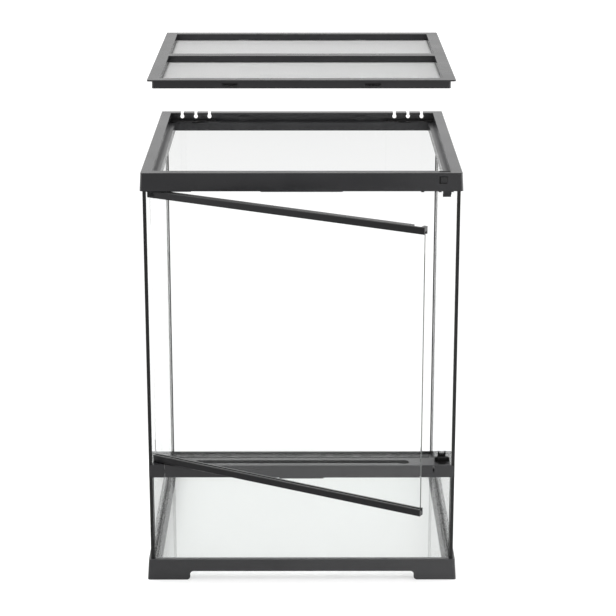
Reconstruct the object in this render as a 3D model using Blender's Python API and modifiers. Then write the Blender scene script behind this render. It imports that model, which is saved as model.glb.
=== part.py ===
"""A glass terrarium with one framed front door, a vent strip under it and a lift-off mesh lid.

Metres, +Z up, front towards -Y. The object stands on z = 0, and the origin is the middle of its
footprint. It is modelled as photographed: the door stands part open and the lid is lifted off
straight up. Inside the functions, X and Y are counted from the middle of the glass tank, with the
door closed and the lid seated. The empties then open the door and lift the lid.
"""

import math

import bmesh
import bpy
from mathutils import Matrix, Vector

# Clearances
GAP = 0.0003  # between pieces that lie against each other
BORE_CLEARANCE = 0.0003  # around a hinge pin
DOOR_END_CLEARANCE = 0.0007  # free end of the door to the right pane
CATCH_CLEARANCE = 0.0006  # between the closed door and its catches
LID_SKIRT_CLEARANCE = 0.0025  # lid skirt to the wall of the frame's recess

# Glass tank
TANK_WIDTH = 0.450
TANK_DEPTH = 0.450
PANE = 0.005
PANE_CHAMFER = 0.0004  # on the ground edges of every pane
KICK_SETBACK = 0.004  # front of the low front pane behind the front of the tank
KICK_TOP = 0.168
EDGE_STRIP = 0.0009  # black strip over the front edge of a side pane
EDGE_STRIP_SETBACK = 0.0003

# Silicone
CORNER_BEAD = 0.002
FLOOR_BEAD = 0.003
KICK_BEAD_WIDTH = 0.0012

# Base frame
BASE_HEIGHT = 0.032
BASE_TOP_REACH = 0.0034  # beyond the glass, at the top
BASE_FOOT_REACH = 0.0054  # beyond the glass, at the ground
BASE_WALL = 0.0028
BASE_LEDGE_HEIGHT = 0.0207
BASE_LEDGE_WIDTH = 0.015
BASE_LEDGE_THICKNESS = 0.0025
BASE_LEDGE_LIP = 0.005
BASE_EDGE_RADIUS = 0.0008
FOOT_LENGTH = 0.0635
FOOT_SOLE_WIDTH = 0.010
FOOT_SOLE_THICKNESS = 0.0025
FOOT_GAP_HEIGHT = 0.0134
FOOT_RADIUS = 0.005
FRAME_CORNER_RADIUS = 0.004

# Vent strip
STRIP_TOP = 0.181
STRIP_FACE_HEIGHT = 0.019
STRIP_FRONT_REACH = 0.0015  # in front of the glass
STRIP_DEPTH = 0.0315
STRIP_WALL = 0.002
STRIP_REAR_LIP = 0.008
STRIP_LIP_WIDTH = 0.065  # low lip under the middle of the face
STRIP_LIP_DROP = 0.0015
VENT_SLOT_LENGTH = 0.318
VENT_SLOT_WIDTH = 0.015
VENT_SLOT_SETBACK = 0.007
VENT_MESH_THICKNESS = 0.0012
VENT_MESH_MARGIN = 0.003
VENT_MESH_WIRE = 0.0012
VENT_MESH_COLUMNS = 30
VENT_MESH_ROWS = 3
STRIP_SLIT_WIDTH = 0.0022
STRIP_SLIT_HEIGHT = 0.012
STRIP_SLIT_SETBACK = 0.001  # from the catch's wings

# Hinge blocks, pins and catches
HINGE_BLOCK_LENGTH = 0.023
HINGE_BLOCK_RISE = 0.0013  # above the vent strip
HINGE_BLOCK_DEPTH = 0.0265
UPPER_BLOCK_LENGTH = 0.0635
UPPER_BLOCK_DEPTH = 0.0185
UPPER_BLOCK_DROP = 0.0015  # below the top frame
PIN_RADIUS = 0.0018
PIN_IN_BLOCK = 0.0118
PIN_IN_UPPER_BLOCK = 0.009
PIN_IN_RAIL = 0.0055
CATCH_WIDTH = 0.0115
CATCH_SETBACK = 0.018  # middle of the catches from the outer face of the right pane
CATCH_DEPTH = 0.0145
CATCH_WING_SPAN = 0.0218
CATCH_WING_HEIGHT = 0.0067
CATCH_WING_SHOULDER = 0.0052  # where the wings' ends start to slope
CATCH_WING_SLOPE = 0.0009  # how far they slope inwards
CATCH_WING_SETBACK = 0.0025  # behind the front of the catch
CATCH_FOOT_REACH = 0.0075  # in front of the catch
CATCH_FOOT_HEIGHT = 0.0008
CATCH_POST_HEIGHT = 0.0093
CATCH_HORN_WIDTH = 0.002
CATCH_HORN_FOOT_WIDTH = 0.003
CATCH_HORN_HEIGHT = 0.0125
CATCH_TONGUE_DEPTH = 0.0055
UPPER_CATCH_HANG = 0.008  # below the top frame
UPPER_HOOK_HANG = 0.0135  # the part behind the closed door
UPPER_HOOK_DEPTH = 0.0034
CLIP_WIDTH = 0.0166
CLIP_OVERHANG = 0.0019  # past the catch block, on its right
CLIP_BODY_DROP = 0.006  # below the underside of the ledge
CLIP_HEAD_THICKNESS = 0.003
CLIP_SLOT_SETBACK = 0.0042  # front of the head's slot behind the rim's front edge
CLIP_WINDOW_WIDTH = 0.0116
CLIP_WINDOW_HEIGHT = 0.010
CLIP_WINDOW_DROP = 0.005  # below the rim
CLIP_LUG_MARGIN = 0.001  # lug to the window's edges, above and below
CLIP_LUG_SETBACK = 0.002  # from the window's left edge

# Top frame
FRAME_TOP = 0.621
FRAME_HEIGHT = 0.026
FRAME_TOP_REACH = 0.0024
FRAME_BOTTOM_REACH = 0.0038
FRAME_WALL = 0.002
RIM_WIDTH = 0.0154
RIM_EDGE_RADIUS = 0.0008
RECESS_DEPTH = 0.013
LEDGE_WIDTH = 0.008
REAR_LEDGE_WIDTH = 0.015
GLASS_STOP_THICKNESS = 0.002
GLASS_STOP_SPACING = 0.120
LUG_SPACING = 0.188
LUG_WIDTH = 0.0155
LUG_HEIGHT = 0.008
LUG_REACH = 0.0045
FRAME_LIP_WIDTH = 0.116  # low lip under the middle of the front
FRAME_LIP_DROP = 0.001
FRAME_BUMP_WIDTH = 0.0045
FRAME_BUMP_DROP = 0.0014
FRAME_BUMP_SETBACKS = (0.0125, 0.0295, 0.0540)  # from the outer face of the right pane

# Cable and tube inlets
INLET_PITCH = 0.022
INLETS_EACH_SIDE = 3
INLET_SETBACK = 0.053  # middle of each group, from the outer face of the side pane
KEYHOLE_NECK = 0.0048
KEYHOLE_RADIUS = 0.0036
KEYHOLE_DEPTH = 0.0088  # at the recess's rear wall
KEYHOLE_SLOPE = 0.2  # downwards to the rear
ARCH_RADIUS = 0.0072  # raised half rings on the skirt, under the inlets
ARCH_WIDTH = 0.0012
ARCH_RISE = 0.0006
LEDGE_HOLE_RADIUS = 0.004
LEDGE_HOLE_SETBACK = 0.0078  # from the recess's rear wall
SLIDER_THICKNESS = 0.0015
SLIDER_OUTER_MARGIN = 0.0172  # beyond its outermost hole
SLIDER_INNER_MARGIN = 0.011
SLIDER_WIDTH = 0.0125
SLIDER_TRAVEL = 0.011
SLIDER_TAB_WIDTH = 0.008
SLIDER_TAB_REACH = 0.0035
SLIDER_GUIDE_WIDTH = 0.0012
SLIDER_GUIDE_HEIGHT = 0.0014
SLIDER_GUIDE_LENGTH = 0.024

# Door
DOOR_OPEN_ANGLE = math.radians(29.2)  # as photographed
DOOR_SETBACK = 0.008  # front of the closed door behind the front of the tank
RAIL_HEIGHT = 0.0102
RAIL_DEPTH = 0.010
RAIL_CHAMFER = 0.0009
RAIL_FRONT_WALL = 0.0018
RAIL_END_RADIUS = 0.0015
RAIL_TOP_GAP = 0.0007  # to the upper hinge block
RAIL_BOTTOM_GAP = 0.0004  # to the lower hinge block
DOOR_GLASS = 0.004
DOOR_GLASS_INSET = 0.0012  # glass edges from the rail ends
GLASS_IN_RAIL = 0.0036
HINGE_END_CLEARANCE = 0.0027  # hinge end of the door to the left pane
PIN_SETBACK = 0.0045  # from the hinge end of the door

# Lid
LID_LIFT = 0.1277  # as photographed
LID_OVERLAP = 0.004  # flange on the rim of the top frame
LID_FLANGE = 0.002
LID_RIM_WIDTH = 0.0175
LID_WALL = 0.002
LID_SKIRT_DEPTH = 0.013
LID_WINDOW_DEPTH = 0.0095
LID_CORNER_RADIUS = 0.0035
LID_BAR_WIDTH = 0.022
LID_MESH_THICKNESS = 0.0008
LID_MESH_WIRE = 0.0012
LID_MESH_COLUMNS = 18
LID_MESH_ROWS = 8
RETAINER_WIDTH = 0.010
RETAINER_THICKNESS = 0.0019
LATCH_WINDOW_WIDTH = 0.0216
LATCH_WINDOW_HEIGHT = 0.0048
LATCH_WINDOW_DROP = 0.005  # below the lid's top
LATCH_WINDOW_SPACING = 0.200

# How far a cutter passes the surface that it cuts
PAST = 0.002
PIN_SIDES = 16
HOLE_SIDES = 12
SLOT_END_STEPS = 10

# Worked out from the sizes above
HALF_WIDTH = TANK_WIDTH / 2
HALF_DEPTH = TANK_DEPTH / 2
FRONT = -HALF_DEPTH
REAR = HALF_DEPTH
SIDE_INSIDE = HALF_WIDTH - PANE - GAP
REAR_INSIDE = REAR - PANE - GAP
PANE_BOTTOM = BASE_LEDGE_HEIGHT + GAP
LEDGE_TOP = FRAME_TOP - RECESS_DEPTH
LEDGE_UNDERSIDE = LEDGE_TOP - FRAME_WALL
PANE_TOP = LEDGE_UNDERSIDE - GAP
FRAME_BOTTOM = FRAME_TOP - FRAME_HEIGHT
SIDE_PANE_FRONT = FRONT + EDGE_STRIP_SETBACK + EDGE_STRIP + GAP
KICK_FRONT = FRONT + KICK_SETBACK
KICK_REAR = KICK_FRONT + PANE
FLOOR_FRONT = KICK_REAR + GAP
FLOOR_TOP = PANE_BOTTOM + PANE
RIM_INSIDE = FRAME_TOP_REACH - RIM_WIDTH  # outward from the glass, as all reaches
LEDGE_INSIDE = RIM_INSIDE - LEDGE_WIDTH
RECESS_REAR = REAR + RIM_INSIDE
INLET_MIDDLE = HALF_WIDTH - INLET_SETBACK
REAR_LEDGE_EDGE = RECESS_REAR - REAR_LEDGE_WIDTH
STRIP_FRONT = FRONT - STRIP_FRONT_REACH
STRIP_REAR = STRIP_FRONT + STRIP_DEPTH
STRIP_BOTTOM = STRIP_TOP - STRIP_FACE_HEIGHT
BLOCK_TOP = STRIP_TOP + HINGE_BLOCK_RISE
UPPER_BLOCK_BOTTOM = FRAME_BOTTOM - UPPER_BLOCK_DROP
DOOR_LEFT = -HALF_WIDTH + PANE + HINGE_END_CLEARANCE
DOOR_RIGHT = SIDE_INSIDE + GAP - DOOR_END_CLEARANCE
DOOR_FRONT = FRONT + DOOR_SETBACK
DOOR_REAR = DOOR_FRONT + RAIL_DEPTH
UPPER_PIN_TOP = UPPER_BLOCK_BOTTOM + PIN_IN_UPPER_BLOCK
BOTTOM_RAIL_BASE = BLOCK_TOP + RAIL_BOTTOM_GAP
TOP_RAIL_TOP = UPPER_BLOCK_BOTTOM - RAIL_TOP_GAP
GLASS_MIDDLE = (DOOR_FRONT + DOOR_REAR) / 2
HINGE_AXIS = Vector((DOOR_LEFT + PIN_SETBACK, GLASS_MIDDLE, 0.0))
CATCH_MIDDLE = HALF_WIDTH - CATCH_SETBACK
CATCH_FRONT = DOOR_FRONT + RAIL_FRONT_WALL + CATCH_CLEARANCE
CATCH_REAR = CATCH_FRONT + CATCH_DEPTH
CATCH_POST_FRONT = DOOR_REAR + CATCH_CLEARANCE
GLASS_FRONT = GLASS_MIDDLE - DOOR_GLASS / 2
GLASS_BOTTOM = BOTTOM_RAIL_BASE + RAIL_HEIGHT - GLASS_IN_RAIL
GLASS_TOP = TOP_RAIL_TOP - RAIL_HEIGHT + GLASS_IN_RAIL
LID_SEAT = FRAME_TOP + GAP
LID_TOP = LID_SEAT + LID_FLANGE
LID_HALF_WIDTH = HALF_WIDTH + RIM_INSIDE + LID_OVERLAP
LID_HALF_DEPTH = HALF_DEPTH + RIM_INSIDE + LID_OVERLAP
LID_SKIRT_INSET = LID_OVERLAP + LID_SKIRT_CLEARANCE
LID_MESH_TOP = LID_TOP - LID_WINDOW_DEPTH - GAP
SLIDER_BOTTOM = LEDGE_TOP + GAP
SLIDER_TOP = SLIDER_BOTTOM + SLIDER_THICKNESS

part_collection = bpy.data.collections.new("terrarium")
tool_collection = bpy.data.collections.new("cutters")


# Materials

def principled(name, colour, roughness, transmission=0.0, metallic=0.0):
    """A material with one Principled BSDF."""
    material = bpy.data.materials.new(name)
    material.use_nodes = True
    shader = material.node_tree.nodes["Principled BSDF"]
    shader.inputs["Base Color"].default_value = (*colour, 1.0)
    shader.inputs["Roughness"].default_value = roughness
    shader.inputs["Metallic"].default_value = metallic
    shader.inputs["Transmission Weight"].default_value = transmission
    return material


def make_materials():
    """Every finish on the object, by name."""
    return {
        "frame_plastic": principled("frame_plastic", (0.045, 0.045, 0.048), 0.45),
        "strip_plastic": principled("strip_plastic", (0.075, 0.075, 0.080), 0.40),
        "door_plastic": principled("door_plastic", (0.020, 0.020, 0.021), 0.38),
        "black_plastic": principled("black_plastic", (0.008, 0.008, 0.008), 0.42),
        "silicone": principled("silicone", (0.020, 0.020, 0.020), 0.50),
        "clear_glass": principled("clear_glass", (0.93, 0.96, 0.95), 0.0, transmission=1.0),
        "steel": principled("steel", (0.55, 0.55, 0.55), 0.30, metallic=1.0),
        "mesh_steel": principled("mesh_steel", (0.60, 0.60, 0.61), 0.40, metallic=1.0),
        "coated_mesh": principled("coated_mesh", (0.010, 0.010, 0.010), 0.55),
    }


# Shapes

def link(name, mesh, material):
    """A new object of the terrarium that shows this mesh."""
    mesh.name = name
    mesh.materials.clear()
    mesh.materials.append(material)
    part = bpy.data.objects.new(name, mesh)
    part_collection.objects.link(part)
    return part


def box_mesh(low, high):
    """A box between two corners."""
    low, high = Vector(low), Vector(high)
    size = high - low
    matrix = Matrix.Translation((low + high) / 2) @ Matrix.Diagonal((*size, 1.0))
    solid = bmesh.new()
    bmesh.ops.create_cube(solid, size=1.0, matrix=matrix)
    return finished(solid, "box")


def cylinder_mesh(centre, radius, low, high):
    """An upright cylinder between two heights."""
    matrix = Matrix.Translation((centre[0], centre[1], (low + high) / 2))
    solid = bmesh.new()
    bmesh.ops.create_cone(
        solid, cap_ends=True, segments=PIN_SIDES, radius1=radius, radius2=radius,
        depth=high - low, matrix=matrix)
    return finished(solid, "cylinder")


def finished(solid, name):
    """The mesh of a bmesh, with its faces out."""
    bmesh.ops.recalc_face_normals(solid, faces=solid.faces)
    mesh = bpy.data.meshes.new(name)
    solid.to_mesh(mesh)
    solid.free()
    return mesh


def poly_curve(outlines, name):
    """A flat curve object with one closed POLY spline for each outline."""
    curve = bpy.data.curves.new(name, "CURVE")
    curve.dimensions = "2D"
    for outline in outlines:
        spline = curve.splines.new("POLY")
        spline.points.add(len(outline) - 1)
        for point, (x, y) in zip(spline.points, outline):
            point.co = (x, y, 0.0, 1.0)
        spline.use_cyclic_u = True
    drawn = bpy.data.objects.new(name, curve)
    tool_collection.objects.link(drawn)
    return drawn


def mesh_of_curve(drawn, matrix):
    """The curve's surface as a closed mesh, moved by the matrix."""
    graph = bpy.context.evaluated_depsgraph_get()
    mesh = bpy.data.meshes.new_from_object(drawn.evaluated_get(graph))
    solid = bmesh.new()
    solid.from_mesh(mesh)
    bpy.data.meshes.remove(mesh)
    bmesh.ops.remove_doubles(solid, verts=solid.verts, dist=1e-6)
    bmesh.ops.transform(solid, matrix=matrix, verts=solid.verts)
    bpy.data.objects.remove(drawn)
    return finished(solid, "from_curve")


# The plane that an outline is drawn in, and the direction in which it is extruded
PLANES = {
    "X": Matrix(((0, 0, 1, 0), (1, 0, 0, 0), (0, 1, 0, 0), (0, 0, 0, 1))),
    "Y": Matrix(((1, 0, 0, 0), (0, 0, -1, 0), (0, 1, 0, 0), (0, 0, 0, 1))),
    "Z": Matrix.Identity(4),
}
ALONG = {"X": Vector((1, 0, 0)), "Y": Vector((0, 1, 0)), "Z": Vector((0, 0, 1))}


def prism_mesh(outlines, axis, low, high):
    """Outlines, drawn across an axis, filled and extruded between two places on it.

    An outline is (Y, Z) points for X, (X, Z) points for Y and (X, Y) points for Z. One that lies
    inside another is a hole in it.
    """
    drawn = poly_curve(outlines, "outline")
    drawn.data.fill_mode = "BOTH"
    drawn.data.extrude = (high - low) / 2
    offset = Matrix.Translation(ALONG[axis] * (low + high) / 2)
    return mesh_of_curve(drawn, offset @ PLANES[axis])


def ring_mesh(low, high, profile):
    """A profile of (outward reach, height) points swept round the rectangle between two corners."""
    (left, front), (right, rear) = low, high
    section = poly_curve([[(-reach, height) for reach, height in profile]], "section")
    path = poly_curve([[(left, front), (right, front), (right, rear), (left, rear)]], "path")
    path.data.bevel_mode = "OBJECT"
    path.data.bevel_object = section
    mesh = mesh_of_curve(path, Matrix.Identity(4))
    bpy.data.objects.remove(section)
    return mesh


def round_upright_edges(mesh, least_x, least_y, radius):
    """Rounds the upright corner edges of a ring that lie beyond these distances from its middle."""
    solid = bmesh.new()
    solid.from_mesh(mesh)
    edges = [
        edge for edge in solid.edges
        if abs(edge.verts[0].co.z - edge.verts[1].co.z) > 0.001
        and all(abs(v.co.x) > least_x and abs(v.co.y) > least_y for v in edge.verts)]
    bmesh.ops.bevel(solid, geom=edges, offset=radius, segments=4, affect="EDGES", profile=0.5)
    solid.to_mesh(mesh)
    solid.free()


def arc(centre, radius, start, end, steps):
    """Points of an arc between two angles in degrees."""
    angles = [math.radians(start + (end - start) * i / steps) for i in range(steps + 1)]
    return [(centre[0] + radius * math.cos(a), centre[1] + radius * math.sin(a)) for a in angles]


def circle(centre, radius):
    """Points of a hole's outline."""
    return arc(centre, radius, 0.0, 360.0 * (HOLE_SIDES - 1) / HOLE_SIDES, HOLE_SIDES - 1)


def stadium(left, right, front, rear):
    """A long outline with half-round ends."""
    radius = (rear - front) / 2
    middle = (front + rear) / 2
    return (arc((right - radius, middle), radius, -90, 90, SLOT_END_STEPS)
            + arc((left + radius, middle), radius, 90, 270, SLOT_END_STEPS))


def mirrored(points):
    """The outline on the other side of X = 0, still drawn the same way round."""
    return [(-x, y) for x, y in reversed(points)]


def shape(part, meshes, operation):
    """Cuts each mesh out of a part, or joins it on, with a hidden tool object."""
    for mesh in meshes:
        tool = bpy.data.objects.new(f"{part.name}_{operation.lower()}", mesh)
        tool.hide_render = True
        tool.display_type = "WIRE"
        tool_collection.objects.link(tool)
        tool.hide_set(True)
        modifier = part.modifiers.new(operation.title(), "BOOLEAN")
        modifier.operation = operation
        modifier.solver = "EXACT"
        modifier.object = tool
        tool.parent = part


def cut(part, *meshes):
    shape(part, meshes, "DIFFERENCE")


def join(part, *meshes):
    shape(part, meshes, "UNION")


def chamfer(part, width):
    """Small flats on every sharp edge of a simple solid."""
    modifier = part.modifiers.new("Chamfer", "BEVEL")
    modifier.width = width
    modifier.segments = 1
    modifier.limit_method = "ANGLE"


# Base frame

def base_profile():
    """The base's section: drafted wall, rim, ledge under the panes and sole."""
    top = BASE_TOP_REACH
    foot = BASE_FOOT_REACH
    draft = (foot - top) / BASE_HEIGHT
    ledge_end = -BASE_LEDGE_WIDTH
    ledge_bottom = BASE_LEDGE_HEIGHT - BASE_LEDGE_THICKNESS
    lip_bottom = BASE_LEDGE_HEIGHT - BASE_LEDGE_LIP
    radius = BASE_EDGE_RADIUS
    rim_edge = arc((top - radius, BASE_HEIGHT - radius), radius, 0, 90, 3)
    return [
        (foot, 0.0),
        *rim_edge,
        (top - BASE_WALL, BASE_HEIGHT),
        (top - BASE_WALL, BASE_LEDGE_HEIGHT),
        (ledge_end, BASE_LEDGE_HEIGHT),
        (ledge_end, lip_bottom),
        (ledge_end + FRAME_WALL, lip_bottom),
        (ledge_end + FRAME_WALL, ledge_bottom),
        (foot - ledge_bottom * draft - BASE_WALL, ledge_bottom),
        (foot - FOOT_SOLE_THICKNESS * draft - BASE_WALL, FOOT_SOLE_THICKNESS),
        (foot - FOOT_SOLE_WIDTH, FOOT_SOLE_THICKNESS),
        (foot - FOOT_SOLE_WIDTH, 0.0),
    ]


def foot_gap(half_side):
    """The rounded window between two feet, seen square on."""
    inside = half_side + BASE_FOOT_REACH - FOOT_LENGTH
    radius = FOOT_RADIUS
    foot_corner = arc((inside + radius, radius), radius, 270, 180, 5)
    top_corner = arc((inside - radius, FOOT_GAP_HEIGHT - radius), radius, 0, 90, 5)
    half = [(inside + radius, -PAST), *foot_corner, *top_corner]
    return half + mirrored(half)


def make_base(materials):
    corner_low, corner_high = (-HALF_WIDTH, FRONT), (HALF_WIDTH, REAR)
    mesh = ring_mesh(corner_low, corner_high, base_profile())
    round_upright_edges(mesh, HALF_WIDTH + BASE_TOP_REACH / 2, HALF_DEPTH + BASE_TOP_REACH / 2,
                        FRAME_CORNER_RADIUS)
    base = link("base_frame", mesh, materials["frame_plastic"])
    rim_behind = (
        (-SIDE_INSIDE, FRONT - BASE_TOP_REACH / 2, BASE_LEDGE_HEIGHT - BASE_LEDGE_THICKNESS / 2),
        (SIDE_INSIDE, KICK_FRONT - GAP, BASE_HEIGHT))
    join(base, box_mesh(*rim_behind))
    reach = BASE_FOOT_REACH + PAST
    cut(base,
        prism_mesh([foot_gap(HALF_WIDTH)], "Y", FRONT - reach, REAR + reach),
        prism_mesh([foot_gap(HALF_DEPTH)], "X", -HALF_WIDTH - reach, HALF_WIDTH + reach))
    return [base]


# Glass and silicone

def make_glass(materials):
    """The fixed panes."""
    panes = {
        "floor_glass": ((-SIDE_INSIDE, FLOOR_FRONT, PANE_BOTTOM), (SIDE_INSIDE, REAR_INSIDE, FLOOR_TOP)),
        "left_glass": ((-HALF_WIDTH, SIDE_PANE_FRONT, PANE_BOTTOM),
                       (PANE - HALF_WIDTH, REAR_INSIDE, PANE_TOP)),
        "right_glass": ((HALF_WIDTH - PANE, SIDE_PANE_FRONT, PANE_BOTTOM),
                        (HALF_WIDTH, REAR_INSIDE, PANE_TOP)),
        "rear_glass": ((-HALF_WIDTH, REAR - PANE, PANE_BOTTOM), (HALF_WIDTH, REAR, PANE_TOP)),
        "front_kick_glass": ((-SIDE_INSIDE, KICK_FRONT, PANE_BOTTOM), (SIDE_INSIDE, KICK_REAR, KICK_TOP)),
    }
    made = []
    for name, corners in panes.items():
        pane = link(name, box_mesh(*corners), materials["clear_glass"])
        chamfer(pane, PANE_CHAMFER)
        made.append(pane)
    return made


def make_edge_strips(materials):
    """The black strips over the front edges of the side panes."""
    front = FRONT + EDGE_STRIP_SETBACK
    outside = (HALF_WIDTH - PANE, front, PANE_BOTTOM), (HALF_WIDTH, front + EDGE_STRIP, PANE_TOP)
    (low_x, low_y, low_z), (high_x, high_y, high_z) = outside
    return [
        link("left_edge_strip", box_mesh((-high_x, low_y, low_z), (-low_x, high_y, high_z)),
             materials["silicone"]),
        link("right_edge_strip", box_mesh((low_x, low_y, low_z), (high_x, high_y, high_z)),
             materials["silicone"]),
    ]


def bead_outline(corner, size):
    """A hollow-faced bead in the corner of two panes, for the side towards +X and -Y."""
    x, y = corner
    return [(x, y)] + arc((x + size, y - size), size, 180, 90, 5)


def make_silicone(materials):
    """The beads that hold the panes to each other and to the floor."""
    silicone = materials["silicone"]
    bead_bottom = FLOOR_TOP + FLOOR_BEAD + 2 * GAP
    rear = bead_outline((-SIDE_INSIDE, REAR_INSIDE), CORNER_BEAD)
    kick = [
        (-SIDE_INSIDE, KICK_FRONT - GAP),
        (-SIDE_INSIDE, SIDE_PANE_FRONT),
        (KICK_BEAD_WIDTH / 2 - SIDE_INSIDE, SIDE_PANE_FRONT),
        (KICK_BEAD_WIDTH - SIDE_INSIDE, KICK_FRONT - GAP),
    ]
    beads = {
        "rear_left_seam": (rear, bead_bottom, FRAME_BOTTOM - GAP),
        "rear_right_seam": (mirrored(rear), bead_bottom, FRAME_BOTTOM - GAP),
        "kick_left_seam": (kick, BASE_HEIGHT + GAP, STRIP_BOTTOM - GAP),
        "kick_right_seam": (mirrored(kick), BASE_HEIGHT + GAP, STRIP_BOTTOM - GAP),
    }
    made = [
        link(name, prism_mesh([outline], "Z", bottom, top), silicone)
        for name, (outline, bottom, top) in beads.items()]
    foot = FLOOR_TOP + GAP
    profile = [(0.0, foot)] + [
        (reach - FLOOR_BEAD, height)
        for reach, height in arc((0.0, foot + FLOOR_BEAD), FLOOR_BEAD, 270, 360, 4)]
    seam = ring_mesh((-SIDE_INSIDE, FLOOR_FRONT), (SIDE_INSIDE, REAR_INSIDE), profile)
    made.append(link("floor_seam", seam, silicone))
    return made


# Vent strip

def strip_profile():
    """The strip's section, as (Y, Z) points: face, vented top, and a channel on the low pane."""
    inside = STRIP_FRONT + STRIP_WALL
    under_top = STRIP_TOP - STRIP_WALL
    seat = KICK_TOP + GAP
    channel = KICK_REAR + GAP
    return [
        (STRIP_FRONT, STRIP_BOTTOM),
        (STRIP_FRONT, STRIP_TOP - RIM_EDGE_RADIUS),
        (STRIP_FRONT + RIM_EDGE_RADIUS, STRIP_TOP),
        (STRIP_REAR, STRIP_TOP),
        (STRIP_REAR, STRIP_TOP - STRIP_REAR_LIP),
        (STRIP_REAR - STRIP_WALL, STRIP_TOP - STRIP_REAR_LIP),
        (STRIP_REAR - STRIP_WALL, under_top),
        (inside, under_top),
        (inside, seat + STRIP_WALL),
        (channel + STRIP_WALL, seat + STRIP_WALL),
        (channel + STRIP_WALL, STRIP_BOTTOM + STRIP_WALL),
        (channel, STRIP_BOTTOM + STRIP_WALL),
        (channel, seat),
        (inside, seat),
        (inside, STRIP_BOTTOM),
    ]


def make_strip(materials):
    """The moulded strip that closes the top of the low pane and lets air in."""
    left = HINGE_BLOCK_LENGTH - HALF_WIDTH + GAP
    mesh = prism_mesh([strip_profile()], "X", left, SIDE_INSIDE)
    strip = link("vent_strip", mesh, materials["strip_plastic"])
    face_end = box_mesh((SIDE_INSIDE - PAST, STRIP_FRONT, STRIP_BOTTOM),
                        (HALF_WIDTH, FRONT, STRIP_TOP - RIM_EDGE_RADIUS))
    lip = box_mesh((-STRIP_LIP_WIDTH / 2, STRIP_FRONT, STRIP_BOTTOM - STRIP_LIP_DROP),
                   (STRIP_LIP_WIDTH / 2, STRIP_FRONT + STRIP_WALL, STRIP_BOTTOM + PAST))
    join(strip, face_end, lip)
    slot_front = STRIP_FRONT + VENT_SLOT_SETBACK
    slot = stadium(-VENT_SLOT_LENGTH / 2, VENT_SLOT_LENGTH / 2, slot_front, slot_front + VENT_SLOT_WIDTH)
    slit_right = CATCH_MIDDLE - CATCH_WING_SPAN / 2 - STRIP_SLIT_SETBACK
    slit_top = STRIP_TOP - STRIP_WALL / 2
    slit_bottom = slit_top - STRIP_SLIT_HEIGHT
    above_seat = KICK_TOP + STRIP_WALL + 2 * GAP
    slit = prism_mesh([[
        (STRIP_FRONT - PAST, slit_bottom), (STRIP_FRONT + STRIP_WALL / 2, slit_bottom),
        (STRIP_FRONT + STRIP_WALL / 2, above_seat), (STRIP_FRONT + STRIP_WALL + PAST, above_seat),
        (STRIP_FRONT + STRIP_WALL + PAST, slit_top), (STRIP_FRONT - PAST, slit_top),
    ]], "X", slit_right - STRIP_SLIT_WIDTH, slit_right)
    half = CATCH_WIDTH / 2 + GAP
    pocket = box_mesh(
        (CATCH_MIDDLE - half, CATCH_FRONT - CATCH_TONGUE_DEPTH - GAP, STRIP_TOP - STRIP_WALL - PAST),
        (CATCH_MIDDLE + half, CATCH_REAR + GAP, STRIP_TOP + PAST))
    vent = prism_mesh([slot], "Z", STRIP_TOP - STRIP_WALL - PAST / 2, STRIP_TOP + PAST)
    cut(strip, vent, slit, pocket)
    return [strip]


def net_mesh(low, high, inner_low, inner_high, columns, rows, wire, thickness):
    """A flat sheet whose inner part is a lattice of square gaps, hanging below its top height."""
    (left, front, top), (right, rear, _) = low, high
    xs = [left] + [inner_low[0] + (inner_high[0] - inner_low[0]) * i / columns
                   for i in range(columns + 1)] + [right]
    ys = [front] + [inner_low[1] + (inner_high[1] - inner_low[1]) * i / rows
                    for i in range(rows + 1)] + [rear]
    net = bmesh.new()
    bmesh.ops.create_grid(net, x_segments=columns + 2, y_segments=rows + 2, size=1.0)
    for vertex in net.verts:
        column = round((vertex.co.x + 1.0) / 2.0 * (columns + 2))
        row = round((vertex.co.y + 1.0) / 2.0 * (rows + 2))
        vertex.co = (xs[column], ys[row], top)
    inner = [
        face for face in net.faces
        if inner_low[0] < face.calc_center_median().x < inner_high[0]
        and inner_low[1] < face.calc_center_median().y < inner_high[1]]
    bmesh.ops.inset_individual(net, faces=inner, thickness=wire / 2)
    bmesh.ops.delete(net, geom=inner, context="FACES")
    bmesh.ops.solidify(net, geom=net.faces[:], thickness=thickness)
    sheet_low = min(vertex.co.z for vertex in net.verts)
    bmesh.ops.translate(net, verts=net.verts, vec=(0.0, 0.0, top - thickness - sheet_low))
    return finished(net, "net")


def make_vent_mesh(materials):
    """The black mesh under the strip's slot."""
    slot_front = STRIP_FRONT + VENT_SLOT_SETBACK
    slot_rear = slot_front + VENT_SLOT_WIDTH
    half = VENT_SLOT_LENGTH / 2
    margin = VENT_MESH_MARGIN
    top = STRIP_TOP - STRIP_WALL - GAP
    mesh = net_mesh(
        (-half - margin, slot_front - margin, top), (half + margin, slot_rear + margin, top),
        (-half, slot_front), (half, slot_rear),
        VENT_MESH_COLUMNS, VENT_MESH_ROWS, VENT_MESH_WIRE, VENT_MESH_THICKNESS)
    return [link("vent_mesh", mesh, materials["coated_mesh"])]


# Hinges and catches

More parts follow.
